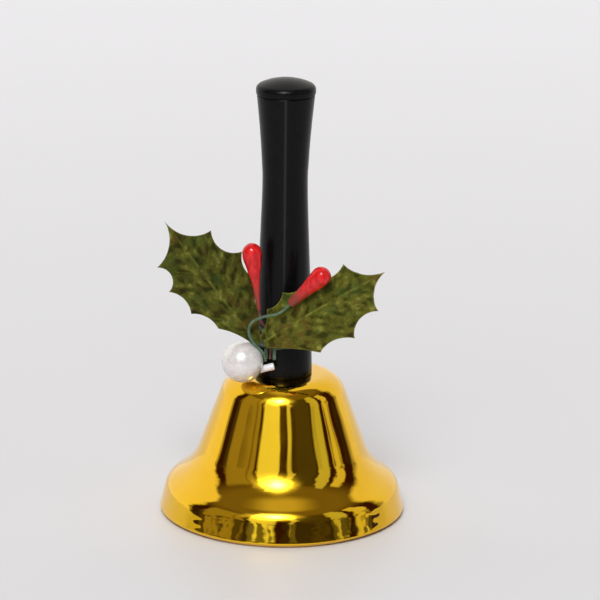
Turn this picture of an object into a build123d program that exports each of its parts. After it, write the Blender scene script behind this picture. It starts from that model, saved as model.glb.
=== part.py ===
from build123d import *
from math import cos, radians, sin, sqrt
import os

# Christmas hand bell with a holly spray. Millimetres, +Z up. The origin is the centre of the
# rim's plane, on which the bell stands, and the spray faces -Y.

os.makedirs("parts", exist_ok=True)

# ---- driving dimensions -------------------------------------------------------------------
RIM_RADIUS = 37.5
BELL_WALL = 0.9
CROWN_Z = 43.9
CROWN_FLAT_RADIUS = 9.5
CROWN_HOLE_RADIUS = 1.8

HANDLE_TOP_Z = 135.5
CAP_SEAM_Z = 130.8
CAP_RADIUS = 9.0
FOOT_RADIUS = 8.75
WAIST_RADIUS = 6.9
CORE_RADIUS = 5.2
CORE_FLOOR_Z = 62.0

SCREW_RADIUS = 1.5
SCREW_TOP_Z = 58.0
WASHER_THICKNESS = 0.6
NUT_THICKNESS = 2.0
NUT_ACROSS_FLATS = 5.5
RUNNING_GAP = 0.3

EYE_WIRE = 0.7
EYE_RADIUS = 2.2
LINK_WIRE = 0.6
LINK_RADIUS = 2.6
CLAPPER_EYE_RADIUS = 2.0
CLAPPER_WIRE = 0.6
CLAPPER_BALL_RADIUS = 5.5
CLAPPER_BALL_Z = 8.6

LEAF_THICKNESS = 0.8
LEAF_BULGE = 2.0
LEAF_TILT = 16.0
LEAF_WIRE = 0.6
BERRY_WIRE = 0.45
LEFT_LEAF_ANGLE = 236
LEFT_BERRY_ANGLE = 244.5
RIGHT_LEAF_ANGLE = 253
PEARL_RADIUS = 6.3
TAPE_BOTTOM_Z = 53.6
TAPE_HEIGHT = 3.8
TAPE_THICKNESS = 0.3
TIE_WIRE = 0.35


def save(part, name):
    part.label = name
    export_step(part, f"parts/{name}.step")


# ---- bell shell: one skin, open below, drilled at the crown ---------------------------------
# Corner points of the outer skin from the crown down to the rim, with the radius of each bend.
bell_corners = [
    (CROWN_HOLE_RADIUS, CROWN_Z),
    (CROWN_FLAT_RADIUS, CROWN_Z),
    (17.15, CROWN_Z - 0.45),
    (27.35, 15.6),
    (35.4, 9.65),
    (RIM_RADIUS + 0.08, 1.3),
    (34.4, -1.4),
]
bell_bends = [20.0, 8.0, 17.0, 6.5, 0.6]

with BuildPart() as bell_shell:
    with BuildSketch(Plane.XZ):
        with BuildLine():
            skin = FilletPolyline(*bell_corners, radius=bell_bends)
            offset(skin, amount=BELL_WALL, side=Side.RIGHT)
        make_face()
        # The foot is cut flat where the bell stands.
        with Locations((0, CROWN_Z)):
            Rectangle(
                2 * RIM_RADIUS + 4, CROWN_Z, align=(Align.CENTER, Align.MAX), mode=Mode.INTERSECT
            )
    revolve(axis=Axis.Z)
save(bell_shell.part, "bell_shell")

# ---- handle: hourglass grip with a blind core, closed by a domed cap -------------------------
with BuildPart() as handle_grip:
    with BuildSketch(Plane.XZ):
        with BuildLine():
            flank = Spline(
                (FOOT_RADIUS, CROWN_Z),
                (8.6, 52.0),
                (8.05, 70.0),
                (WAIST_RADIUS, 100.5),
                (7.12, 110.8),
                (7.79, 120.7),
                (CAP_RADIUS - 0.2, CAP_SEAM_Z),
            )
            Polyline(flank @ 1, (0, CAP_SEAM_Z), (0, CROWN_Z), flank @ 0)
        make_face()
    revolve(axis=Axis.Z)
    # Core open at the top, and pilot hole for the screw eye from below.
    with BuildSketch(Plane.XY.offset(CORE_FLOOR_Z)):
        Circle(CORE_RADIUS)
    extrude(amount=CAP_SEAM_Z - CORE_FLOOR_Z, mode=Mode.SUBTRACT)
    with BuildSketch(Plane.XY.offset(CROWN_Z)):
        Circle(SCREW_RADIUS + 0.05)
    extrude(amount=SCREW_TOP_Z + 1 - CROWN_Z, mode=Mode.SUBTRACT)
save(handle_grip.part, "handle_grip")

DOME_RADIUS = 19.0
DOME_DROP = DOME_RADIUS - sqrt(DOME_RADIUS**2 - CAP_RADIUS**2)
HALF_DROP = DOME_RADIUS - sqrt(DOME_RADIUS**2 - (CAP_RADIUS / 2) ** 2)
with BuildPart() as handle_end_cap:
    with BuildSketch(Plane.XZ) as cap_section:
        with BuildLine():
            dome = ThreePointArc(
                (0, HANDLE_TOP_Z),
                (CAP_RADIUS / 2, HANDLE_TOP_Z - HALF_DROP),
                (CAP_RADIUS, HANDLE_TOP_Z - DOME_DROP),
            )
            Polyline(
                dome @ 1,
                (CAP_RADIUS, CAP_SEAM_Z + 0.3),
                (CAP_RADIUS - 0.3, CAP_SEAM_Z),
                (CORE_RADIUS - 0.05, CAP_SEAM_Z),
                (CORE_RADIUS - 0.05, CAP_SEAM_Z - 5),
                (0, CAP_SEAM_Z - 5),
                dome @ 0,
            )
        make_face()
        fillet(cap_section.vertices().group_by(Axis.X)[-1].sort_by(Axis.Y)[-1], radius=1.8)
    revolve(axis=Axis.Z)
save(handle_end_cap.part, "handle_end_cap")

# ---- hanger: screw eye, washer and nut -------------------------------------------------------
UNDER_CROWN_Z = CROWN_Z - BELL_WALL
NUT_TOP_Z = UNDER_CROWN_Z - WASHER_THICKNESS
NUT_BOTTOM_Z = NUT_TOP_Z - NUT_THICKNESS
EYE_Z = NUT_BOTTOM_Z - 0.5 - EYE_RADIUS - EYE_WIRE
EYE_BOTTOM_Z = EYE_Z - EYE_RADIUS

with BuildPart() as screw_eye:
    with BuildSketch(Plane.XY.offset(EYE_Z)):
        with Locations((EYE_RADIUS, 0)):
            Circle(EYE_WIRE)
    revolve(axis=Axis((0, 0, EYE_Z), (0, 1, 0)))
    with BuildSketch(Plane.XY.offset(EYE_Z + EYE_RADIUS)):
        Circle(SCREW_RADIUS)
    extrude(amount=SCREW_TOP_Z - EYE_Z - EYE_RADIUS)
    chamfer(screw_eye.edges().sort_by(Axis.Z)[-1], length=0.5)
save(screw_eye.part, "screw_eye")

with BuildPart() as inner_washer:
    with BuildSketch(Plane.XY.offset(NUT_TOP_Z)):
        Circle(4.5)
        Circle(SCREW_RADIUS + 0.15, mode=Mode.SUBTRACT)
    extrude(amount=WASHER_THICKNESS)
save(inner_washer.part, "inner_washer")

with BuildPart() as clamp_nut:
    with BuildSketch(Plane.XY.offset(NUT_BOTTOM_Z)):
        RegularPolygon(radius=NUT_ACROSS_FLATS / 2, side_count=6, major_radius=False)
        Circle(SCREW_RADIUS + 0.05, mode=Mode.SUBTRACT)
    extrude(amount=NUT_THICKNESS)
save(clamp_nut.part, "clamp_nut")

# ---- clapper: link, rod with its own eye, and ball -------------------------------------------
# The link lies across the screw eye and hangs on its lowest wire; the clapper's eye hangs on
# the link's lowest wire. The two hinge axes run through those wires.
LINK_Z = EYE_BOTTOM_Z + EYE_WIRE + LINK_WIRE + RUNNING_GAP - LINK_RADIUS
LINK_BOTTOM_Z = LINK_Z - LINK_RADIUS
CLAPPER_EYE_Z = LINK_BOTTOM_Z + LINK_WIRE + CLAPPER_WIRE + RUNNING_GAP - CLAPPER_EYE_RADIUS

with BuildPart() as clapper_link:
    with BuildSketch(Plane.XY.offset(LINK_Z)):
        with Locations((0, LINK_RADIUS)):
            Circle(LINK_WIRE)
    revolve(axis=Axis((0, 0, LINK_Z), (1, 0, 0)))
save(clapper_link.part, "clapper_link")

with BuildPart() as clapper_rod:
    with BuildSketch(Plane.XY.offset(CLAPPER_EYE_Z)):
        with Locations((CLAPPER_EYE_RADIUS, 0)):
            Circle(CLAPPER_WIRE)
    revolve(axis=Axis((0, 0, CLAPPER_EYE_Z), (0, 1, 0)))
    with BuildSketch(Plane.XY.offset(CLAPPER_BALL_Z)):
        Circle(CLAPPER_WIRE)
    extrude(amount=CLAPPER_EYE_Z - CLAPPER_EYE_RADIUS - CLAPPER_BALL_Z)
save(clapper_rod.part, "clapper_rod")

with BuildPart() as clapper_ball:
    with BuildSketch(Plane.XZ):
        with Locations((0, CLAPPER_BALL_Z)):
            Circle(CLAPPER_BALL_RADIUS)
        Rectangle(
            CLAPPER_BALL_RADIUS, 60, align=(Align.MIN, Align.CENTER), mode=Mode.INTERSECT
        )
    revolve(axis=Axis.Z)
    with BuildSketch(Plane.XY.offset(CLAPPER_BALL_Z)):
        Circle(CLAPPER_WIRE + 0.03)
    extrude(amount=CLAPPER_BALL_RADIUS + 1, mode=Mode.SUBTRACT)
save(clapper_ball.part, "clapper_ball")


# ---- holly leaves ------------------------------------------------------------------------------
# A leaf is drawn flat on its own plane, X from its base to its tip. Its edge is a ring of
# spines joined by shallow hollows, and the leaf is then bowed lengthwise.
def leaf_plane(base, tip):
    along = Vector(*tip) - Vector(*base)
    facing = Vector(0, -cos(radians(LEAF_TILT)), sin(radians(LEAF_TILT)))
    normal = facing - along * (facing.dot(along) / along.dot(along))
    return Plane(origin=base, x_dir=along, z_dir=normal)


left_base = (-7.6, -9.0, 55.4)
left_tip = (-36.3, -3.0, 92.1)
right_base = (-6.1, -10.8, 56.5)
right_tip = (30.0, -17.5, 80.7)
left_plane = leaf_plane(left_base, left_tip)
right_plane = leaf_plane(right_base, right_tip)
LEFT_LENGTH = (Vector(*left_tip) - Vector(*left_base)).length
RIGHT_LENGTH = (Vector(*right_tip) - Vector(*right_base)).length

# Each point is a spine (or the base or tip), with the depth of the hollow that follows it.
left_edge = [
    ((0, 1.2), 0.8),
    ((11.1, 6.8), 1.4),
    ((19.6, 10.6), 1.7),
    ((28.9, 11.9), 2.8),
    ((37.0, 9.2), 2.3),
    ((LEFT_LENGTH, 0), 2.3),
    ((36.0, -9.4), 2.9),
    ((25.3, -13.0), 2.0),
    ((15.5, -11.8), 1.4),
    ((7.5, -6.2), 0.5),
    ((0, -1.2), 0),
]
right_edge = [
    ((0, 2.0), 0.8),
    ((6.3, 8.0), 1.2),
    ((13.6, 10.0), 1.9),
    ((23.7, 10.2), 2.4),
    ((34.3, 8.2), 1.8),
    ((RIGHT_LENGTH, 0), 2.1),
    ((36.3, -9.1), 2.6),
    ((25.8, -12.7), 1.9),
    ((14.4, -11.3), 0.5),
    ((0, -2.0), 0),
]


def draw_edge(edge):
    closed = edge[1:] + edge[:1]
    for (point, hollow), (following, _) in zip(edge, closed):
        if hollow:
            SagittaArc(point, following, -hollow)
        else:
            Line(point, following)


def bow_radius(length):
    return (length**2 / 4 + LEAF_BULGE**2) / (2 * LEAF_BULGE)


def bow_height(length, x):
    radius = bow_radius(length)
    return sqrt(radius**2 - (x - length / 2) ** 2) - (radius - LEAF_BULGE)


def side_plane(plane, length):
    centre = plane.from_local_coords((length / 2, 0, LEAF_BULGE - bow_radius(length)))
    return Plane(origin=centre, x_dir=plane.x_dir, z_dir=plane.y_dir)


with BuildPart() as leaf_left:
    with BuildSketch(left_plane):
        with BuildLine():
            draw_edge(left_edge)
        make_face()
    extrude(amount=12, both=True)
    with BuildSketch(side_plane(left_plane, LEFT_LENGTH)):
        Circle(bow_radius(LEFT_LENGTH) + LEAF_THICKNESS / 2)
        Circle(bow_radius(LEFT_LENGTH) - LEAF_THICKNESS / 2, mode=Mode.SUBTRACT)
    extrude(amount=20, both=True, mode=Mode.INTERSECT)
save(leaf_left.part, "leaf_left")

with BuildPart() as leaf_right:
    with BuildSketch(right_plane):
        with BuildLine():
            draw_edge(right_edge)
        make_face()
    extrude(amount=12, both=True)
    with BuildSketch(side_plane(right_plane, RIGHT_LENGTH)):
        Circle(bow_radius(RIGHT_LENGTH) + LEAF_THICKNESS / 2)
        Circle(bow_radius(RIGHT_LENGTH) - LEAF_THICKNESS / 2, mode=Mode.SUBTRACT)
    extrude(amount=20, both=True, mode=Mode.INTERSECT)
save(leaf_right.part, "leaf_right")


# ---- wires of the spray ------------------------------------------------------------------------
# The wires lie side by side on the foot of the handle, under the tape.
BUNDLE_BOTTOM_Z = 50.4
BUNDLE_TOP_Z = 59.0
WIRE_SEAT = FOOT_RADIUS - 0.05


def beside_handle(angle, wire, z):
    reach = WIRE_SEAT + wire
    return (reach * cos(radians(angle)), reach * sin(radians(angle)), z)


def under_leaf(plane, length, x):
    height = bow_height(length, x) - LEAF_THICKNESS / 2 - LEAF_WIRE - 0.5
    return plane.from_local_coords((x, 0, height))


with BuildPart() as leaf_wire_left:
    with BuildLine() as path:
        FilletPolyline(
            under_leaf(left_plane, LEFT_LENGTH, 28),
            under_leaf(left_plane, LEFT_LENGTH, 9),
            beside_handle(LEFT_LEAF_ANGLE, LEAF_WIRE, BUNDLE_TOP_Z),
            beside_handle(LEFT_LEAF_ANGLE, LEAF_WIRE, BUNDLE_BOTTOM_Z),
            radius=[4.0, 2.0],
        )
    with BuildSketch(Plane(origin=path.line @ 0, z_dir=path.line % 0)):
        Circle(LEAF_WIRE)
    sweep()
save(leaf_wire_left.part, "leaf_wire_left")

with BuildPart() as leaf_wire_right:
    with BuildLine() as path:
        FilletPolyline(
            under_leaf(right_plane, RIGHT_LENGTH, 28),
            under_leaf(right_plane, RIGHT_LENGTH, 8),
            beside_handle(RIGHT_LEAF_ANGLE, LEAF_WIRE, BUNDLE_TOP_Z),
            beside_handle(RIGHT_LEAF_ANGLE, LEAF_WIRE, BUNDLE_BOTTOM_Z),
            radius=[3.0, 2.0],
        )
    with BuildSketch(Plane(origin=path.line @ 0, z_dir=path.line % 0)):
        Circle(LEAF_WIRE)
    sweep()
save(leaf_wire_right.part, "leaf_wire_right")

left_berry_end = (-7.45, -9.8, 66.2)
right_berry_end = (2.1, -15.3, 70.0)

with BuildPart() as berry_stem_left:
    with BuildLine() as path:
        FilletPolyline(
            left_berry_end,
            (-7.0, -8.8, 62.2),
            beside_handle(LEFT_BERRY_ANGLE, BERRY_WIRE, BUNDLE_TOP_Z - 0.5),
            beside_handle(LEFT_BERRY_ANGLE, BERRY_WIRE, BUNDLE_BOTTOM_Z),
            radius=[4.0, 3.0],
        )
    with BuildSketch(Plane(origin=path.line @ 0, z_dir=path.line % 0)):
        Circle(BERRY_WIRE)
    sweep()
save(berry_stem_left.part, "berry_stem_left")

# The right berry's stem crosses to the left and loops down outside the tape.
with BuildPart() as berry_stem_right:
    with BuildLine() as path:
        FilletPolyline(
            right_berry_end,
            (-0.5, -14.2, 66.7),
            (-6.6, -12.6, 64.9),
            (-10.2, -11.2, 61.6),
            (-9.6, -10.7, 57.2),
            (-5.7, -10.3, 53.0),
            (-5.4, -9.6, 50.2),
            radius=[4.0, 4.0, 3.0, 3.0, 3.0],
        )
    with BuildSketch(Plane(origin=path.line @ 0, z_dir=path.line % 0)):
        Circle(BERRY_WIRE)
    sweep()
save(berry_stem_right.part, "berry_stem_right")


# ---- berries: lacquered drops drawn out along their stems ----------------------------------------
def draw_drop(bulb, shoulder, neck, length):
    """Half outline of a drop; its bulb is centred at 0 and its neck ends at -length."""
    side = Spline(
        (0, bulb),
        (bulb, 0),
        (shoulder, -0.5 * length),
        (neck, -length),
        tangents=((1, 0), (0, -1)),
    )
    Polyline(side @ 1, (0, -length), side @ 0)


def drop_plane(bulb_centre, end):
    up = Vector(*bulb_centre) - Vector(*end)
    return Plane(origin=bulb_centre, x_dir=up.cross(Vector(0, 1, 0)), z_dir=up)


left_bulb = (-9.7, -8.5, 83.7)
right_bulb = (11.0, -18.9, 79.5)

LEFT_BERRY = (3.0, 1.35, BERRY_WIRE + 0.1, (Vector(*left_bulb) - Vector(*left_berry_end)).length)
RIGHT_BERRY = (3.0, 2.0, 1.3, (Vector(*right_bulb) - Vector(*right_berry_end)).length)

with BuildPart() as berry_left:
    drop = drop_plane(left_bulb, left_berry_end)
    with BuildSketch(Plane(origin=drop.origin, x_dir=drop.x_dir, z_dir=-drop.y_dir)):
        with BuildLine():
            draw_drop(*LEFT_BERRY)
        make_face()
    revolve(axis=Axis(drop.origin, drop.z_dir))
save(berry_left.part, "berry_left")

with BuildPart() as berry_right:
    drop = drop_plane(right_bulb, right_berry_end)
    with BuildSketch(Plane(origin=drop.origin, x_dir=drop.x_dir, z_dir=-drop.y_dir)):
        with BuildLine():
            draw_drop(*RIGHT_BERRY)
        make_face()
    revolve(axis=Axis(drop.origin, drop.z_dir))
save(berry_right.part, "berry_right")

# ---- pearl on its white stem -----------------------------------------------------------------------
pearl_centre = Vector(-12.3, -10.2, 50.0)
stub_end = Vector(-2.7, -9.8, 48.6)
stub_way = (stub_end - Vector(-6.6, -9.8, 47.6)).normalized()
STUB_RADIUS = 1.1
STUB_LENGTH = 7.0

with BuildPart() as pearl_stem:
    with BuildSketch(Plane(origin=stub_end, z_dir=-stub_way)):
        Circle(STUB_RADIUS)
    extrude(amount=STUB_LENGTH)
    fillet(pearl_stem.edges().sort_by(Axis.X)[-1], radius=0.4)
save(pearl_stem.part, "pearl_stem")

with BuildPart() as pearl_bead:
    with BuildSketch(Plane.XZ.offset(-pearl_centre.Y)):
        with Locations((pearl_centre.X, pearl_centre.Z)):
            Circle(PEARL_RADIUS)
        with Locations((pearl_centre.X, pearl_centre.Z)):
            Rectangle(
                PEARL_RADIUS, 3 * PEARL_RADIUS, align=(Align.MIN, Align.CENTER), mode=Mode.INTERSECT
            )
    revolve(axis=Axis(pearl_centre, (0, 0, 1)))
    with BuildSketch(Plane(origin=stub_end, z_dir=-stub_way)):
        Circle(STUB_RADIUS + 0.03)
    extrude(amount=STUB_LENGTH + 0.03, mode=Mode.SUBTRACT)
save(pearl_bead.part, "pearl_bead")

# ---- tape and tie wire round the handle's foot and the wires ----------------------------------------
outer_wires = [
    beside_handle(angle, LEAF_WIRE, 0)[:2] for angle in (LEFT_LEAF_ANGLE, RIGHT_LEAF_ANGLE)
]


def draw_wrap(margin):
    """Outline drawn tight round the handle and the outer wires, let out by a margin."""
    Circle(WIRE_SEAT + margin)
    with Locations(*outer_wires):
        Circle(LEAF_WIRE + 0.05 + margin)
    make_hull()


with BuildSketch() as tape_inside:
    draw_wrap(0)

with BuildPart() as floral_tape:
    with BuildSketch(Plane.XY.offset(TAPE_BOTTOM_Z)):
        draw_wrap(TAPE_THICKNESS)
        add(tape_inside.sketch, mode=Mode.SUBTRACT)
    extrude(amount=TAPE_HEIGHT)
save(floral_tape.part, "floral_tape")

TIE_TURNS = 3
TIE_PITCH = 2 * TIE_WIRE + 0.04
TIE_Z = TAPE_BOTTOM_Z + (TAPE_HEIGHT - TIE_PITCH * TIE_TURNS) / 2
TIE_MARGIN = TAPE_THICKNESS + 0.02
TWIST_Z = TIE_Z + TIE_PITCH + TIE_WIRE
TWIST_ANGLE = 65
TWIST_RADIUS = 2 * TIE_WIRE
twist_root = FOOT_RADIUS + TAPE_THICKNESS + TIE_WIRE
twist_out = Vector(cos(radians(TWIST_ANGLE)), sin(radians(TWIST_ANGLE)), 0)

with BuildSketch() as tie_inside:
    draw_wrap(TIE_MARGIN)

with BuildPart() as tie_wire:
    for turn in range(TIE_TURNS):
        with BuildSketch(Plane.XY.offset(TIE_Z + turn * TIE_PITCH)):
            draw_wrap(TIE_MARGIN + 2 * TIE_WIRE)
            add(tie_inside.sketch, mode=Mode.SUBTRACT)
        extrude(amount=2 * TIE_WIRE)
    fillet(tie_wire.edges().filter_by(GeomType.CIRCLE), radius=0.6 * TIE_WIRE)
    # The two ends are twisted together behind the handle and bent down.
    with BuildLine() as tail:
        FilletPolyline(
            twist_out * twist_root + Vector(0, 0, TWIST_Z),
            twist_out * (twist_root + 2.6) + Vector(0, 0, TWIST_Z),
            twist_out * (twist_root + 3.4) + Vector(0, 0, TWIST_Z - 4.6),
            radius=1.6,
        )
    with BuildSketch(Plane(origin=tail.line @ 0, z_dir=tail.line % 0)):
        Circle(TWIST_RADIUS)
    sweep(path=tail.line)
save(tie_wire.part, "tie_wire")
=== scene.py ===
"""Looks of the Christmas hand bell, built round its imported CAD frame. Lengths are metres.

Shapes are described in millimetres, the unit of the design, and become metres when their mesh is made.
"""

import math

import bpy
import numpy as np
from mathutils import Matrix, Vector, noise
from mathutils.geometry import delaunay_2d_cdt


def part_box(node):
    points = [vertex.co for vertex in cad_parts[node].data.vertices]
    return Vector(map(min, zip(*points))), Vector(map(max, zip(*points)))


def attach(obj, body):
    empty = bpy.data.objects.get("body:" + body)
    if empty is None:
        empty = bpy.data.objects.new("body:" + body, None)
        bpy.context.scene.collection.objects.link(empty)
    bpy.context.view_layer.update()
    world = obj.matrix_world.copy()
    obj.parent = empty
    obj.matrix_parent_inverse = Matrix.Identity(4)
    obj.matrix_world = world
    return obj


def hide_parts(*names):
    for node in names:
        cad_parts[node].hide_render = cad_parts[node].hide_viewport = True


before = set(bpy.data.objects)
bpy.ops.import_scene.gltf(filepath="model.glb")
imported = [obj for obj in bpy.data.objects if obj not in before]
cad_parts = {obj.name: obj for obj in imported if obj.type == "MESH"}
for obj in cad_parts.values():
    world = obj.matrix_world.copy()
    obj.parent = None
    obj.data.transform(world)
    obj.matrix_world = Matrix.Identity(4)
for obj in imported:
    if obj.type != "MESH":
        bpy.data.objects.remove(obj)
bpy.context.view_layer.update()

MM = 0.001
TURN = 2 * math.pi


# ---- node graphs -----------------------------------------------------------------------------
def put(tree, kind, *values, out=0, **settings):
    """Adds a node, sets or links its inputs in order, and returns one of its outputs."""
    node = tree.nodes.new("ShaderNode" + kind)
    for key, value in settings.items():
        setattr(node, key, value)
    for socket, value in zip(node.inputs, values):
        if isinstance(value, bpy.types.NodeSocket):
            tree.links.new(value, socket)
        elif value is not None:
            socket.default_value = value
    return node.outputs[out]


def maths(tree, operation, a, b=0.0):
    return put(tree, "Math", a, b, operation=operation)


def plus(tree, a, b):
    return maths(tree, "ADD", a, b)


def minus(tree, a, b):
    return maths(tree, "SUBTRACT", a, b)


def times(tree, a, b):
    return maths(tree, "MULTIPLY", a, b)


def named(tree, name, out=2):
    """A number (or, with out=1, a vector) that the mesh carries on its points."""
    return put(tree, "Attribute", out=out, attribute_name=name)


def ramp(tree, value, low, high, start=0.0, end=1.0):
    """A soft step of value from low to high, as a number from start to end."""
    return put(tree, "MapRange", value, low, high, start, end, interpolation_type="SMOOTHSTEP")


def mix(tree, share, first, second):
    """Mixes two colours."""
    node = tree.nodes.new("ShaderNodeMix")
    node.data_type = "RGBA"
    for socket, value in zip((node.inputs[0], node.inputs[6], node.inputs[7]), (share, first, second)):
        if isinstance(value, bpy.types.NodeSocket):
            tree.links.new(value, socket)
        elif isinstance(value, tuple):
            socket.default_value = (*value, 1.0)
        else:
            socket.default_value = value
    return node.outputs[2]


def place(tree, stretch=(1, 1, 1)):
    """Object coordinates, stretched along each axis."""
    coordinates = put(tree, "TexCoord", out=3)
    return put(tree, "Mapping", coordinates, None, None, stretch)


def speckle(tree, size, stretch=(1, 1, 1), detail=3.0, roughness=0.5):
    """Noise from 0 to 1 whose features are about size millimetres across."""
    return put(
        tree, "TexNoise", place(tree, stretch), None, 1 / (size * MM), detail, roughness, normalize=True
    )


def bump(tree, height, depth, strength=1.0, onto=None):
    """Turns a height from 0 to 1 into a bump depth millimetres deep."""
    node = tree.nodes.new("ShaderNodeBump")
    node.inputs["Strength"].default_value = strength
    node.inputs["Distance"].default_value = depth * MM
    tree.links.new(height, node.inputs["Height"])
    if onto is not None:
        tree.links.new(onto, node.inputs["Normal"])
    return node.outputs["Normal"]


def material(name, **fixed):
    """A new material and its Principled shader, with the inputs that are the same all over."""
    made = bpy.data.materials.new(name)
    made.use_nodes = True
    tree = made.node_tree
    shader = tree.nodes["Principled BSDF"]
    for key, value in fixed.items():
        shader.inputs[key.replace("_", " ").title().replace("Ior", "IOR")].default_value = value
    return made, tree, shader


def link(tree, shader, **sockets):
    for key, socket in sockets.items():
        tree.links.new(socket, shader.inputs[key.replace("_", " ").title()])


# ---- materials -------------------------------------------------------------------------------
def gold_material(name, light, deep, smooth, rough, waviness):
    """Lacquered gold plate over spun metal: turning lines, slight waves, dents at the lip, soft marks."""
    made, tree, shader = material(name, metallic=1.0, coat_weight=0.25, coat_roughness=0.03, coat_ior=1.45)
    patches = speckle(tree, 14, detail=4)
    link(tree, shader, base_color=mix(tree, ramp(tree, patches, 0.35, 0.7), light, deep))
    marks = speckle(tree, 2.2, (1, 1, 0.35), detail=6, roughness=0.65)
    link(tree, shader, roughness=ramp(tree, marks, 0.42, 0.78, smooth, rough))
    spun = speckle(tree, 0.5, (0.02, 0.02, 1), detail=2)
    height = put(tree, "SeparateXYZ", place(tree), out=2)
    lip = ramp(tree, height, 11 * MM, 7 * MM, 0.0, 1.0)
    waves = bump(tree, speckle(tree, 13, (1, 1, 0.75), detail=1), waviness)
    dented = times(tree, speckle(tree, 8, (1, 1, 1.8), detail=1), lip)
    dents = bump(tree, dented, waviness, onto=waves)
    link(tree, shader, normal=bump(tree, spun, 0.002, onto=dents))
    return made


def black_material():
    """Gloss black moulded plastic with a fine orange-peel skin, hairline scratches and a painted highlight
    along its parting lines.
    """
    made, tree, shader = material("black_plastic", specular_ior_level=0.13)
    dust = ramp(tree, speckle(tree, 3, detail=5, roughness=0.7), 0.55, 0.8)
    colour = mix(tree, dust, (0.0028, 0.0028, 0.003), (0.007, 0.0068, 0.0065))
    # Painted highlight: the grip is coloured paler along its parting lines.
    seam = named(tree, "seam")
    link(tree, shader, base_color=mix(tree, ramp(tree, seam, 0.1, 1.0), colour, (0.020, 0.020, 0.021)))
    scratches = speckle(tree, 0.25, (1, 1, 0.04), detail=4, roughness=0.7)
    link(tree, shader, roughness=ramp(tree, scratches, 0.45, 0.85, 0.27, 0.42))
    skin = bump(tree, speckle(tree, 0.9, detail=2), 0.006)
    link(tree, shader, normal=bump(tree, scratches, 0.004, onto=skin))
    return made


def zinc_material():
    """Dull zinc plate on steel wire: a mottled grey with drawing lines and a yellow cast."""
    made, tree, shader = material("zinc", metallic=1.0)
    bloom = speckle(tree, 0.8, detail=5, roughness=0.6)
    colour = mix(tree, ramp(tree, bloom, 0.35, 0.7), (0.62, 0.60, 0.54), (0.42, 0.41, 0.39))
    link(tree, shader, base_color=colour)
    link(tree, shader, roughness=ramp(tree, bloom, 0.3, 0.75, 0.24, 0.46))
    drawn = speckle(tree, 0.12, (1, 1, 0.08), detail=3)
    link(tree, shader, normal=bump(tree, drawn, 0.01))
    return made


def leaf_material(name, pit_shade_and_dark_tone, body, lit_crest_and_pale_tone, brown, green):
    """Stiffened olive cloth: a fine weave, mottled dye, painted shade in its pits and painted light on its
    crests, and pale veins and cut edges.
    """
    made, tree, shader = material(name, specular_ior_level=0.12)
    flat = named(tree, "flat", out=1)
    blotches = put(tree, "TexNoise", flat, None, 0.5, 4.0, 0.6)
    grains = put(tree, "TexNoise", flat, None, 1.7, 3.0, 0.6)
    # The relief number is painted light and shade from the embossing, lighter on crests and darker in pits,
    # with the real paler veins mixed in.
    relief = named(tree, "relief")
    shade = plus(tree, relief, times(tree, minus(tree, blotches, 0.5), 0.7))
    shade = plus(tree, shade, times(tree, minus(tree, grains, 0.5), 0.5))
    colour = mix(tree, ramp(tree, shade, 0.12, 0.5), pit_shade_and_dark_tone, body)
    colour = mix(tree, ramp(tree, shade, 0.5, 0.95), colour, lit_crest_and_pale_tone)
    shaded = put(tree, "TexNoise", flat, None, 0.32, 2.0, 0.5)
    colour = mix(tree, ramp(tree, shaded, 0.50, 0.66, 0.0, 0.6), colour, pit_shade_and_dark_tone)
    stained = put(tree, "TexNoise", flat, None, 0.21, 3.0, 0.55)
    colour = mix(tree, ramp(tree, stained, 0.53, 0.70, 0.0, 0.6), colour, brown)
    colour = mix(tree, ramp(tree, stained, 0.46, 0.34, 0.0, 0.5), colour, green)
    hem = named(tree, "hem")
    colour = mix(tree, ramp(tree, hem, 0.35, 1.0, 0.0, 0.4), colour, lit_crest_and_pale_tone)
    threads = [
        put(tree, "TexWave", flat, 2.6, 1.2, 1.0, 1.5, 0.5, out=1, bands_direction=direction)
        for direction in ("X", "Y")
    ]
    weave = times(tree, *threads)
    colour = mix(tree, ramp(tree, weave, 0.0, 0.7, 0.3, 0.0), colour, pit_shade_and_dark_tone)
    link(tree, shader, base_color=colour)
    link(tree, shader, roughness=ramp(tree, grains, 0.3, 0.75, 0.55, 0.8))
    nap = bump(tree, grains, 0.16)
    link(tree, shader, normal=bump(tree, weave, 0.07, onto=nap))
    return made


def lacquer_material():
    """Thick glossy red lacquer that thins and dulls down the stem end."""
    made, tree, shader = material(
        "red_lacquer", specular_ior_level=0.15, coat_weight=0.5, coat_roughness=0.09, subsurface_weight=0.1,
        subsurface_scale=0.001,
    )
    neck = named(tree, "neck")
    streaks = speckle(tree, 1.2, (1, 1, 0.4), detail=4)
    colour = mix(tree, ramp(tree, streaks, 0.35, 0.7), (0.76, 0.016, 0.018), (0.50, 0.005, 0.008))
    thin = plus(tree, neck, times(tree, streaks, 0.25))
    colour = mix(tree, ramp(tree, thin, 0.42, 1.0), colour, (0.27, 0.04, 0.026))
    link(tree, shader, base_color=colour)
    link(tree, shader, roughness=ramp(tree, thin, 0.3, 1.0, 0.14, 0.5))
    link(tree, shader, normal=bump(tree, speckle(tree, 1.6, detail=3), 0.04))
    return made


def pearl_material():
    """Pearl-coated bead: a soft satin body under a clear gloss, with faint pink and cream clouds."""
    made, tree, shader = material(
        "pearl", metallic=0.2, coat_weight=0.8, coat_roughness=0.1, ior=1.55, subsurface_weight=0.15,
        subsurface_scale=0.002,
    )
    clouds = speckle(tree, 5, detail=3)
    colour = mix(tree, ramp(tree, clouds, 0.35, 0.7), (0.78, 0.75, 0.735), (0.80, 0.73, 0.72))
    link(tree, shader, base_color=colour)
    link(tree, shader, roughness=ramp(tree, speckle(tree, 1.4, detail=4), 0.3, 0.7, 0.2, 0.32))
    link(tree, shader, normal=bump(tree, speckle(tree, 0.5, detail=3), 0.004))
    return made


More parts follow.
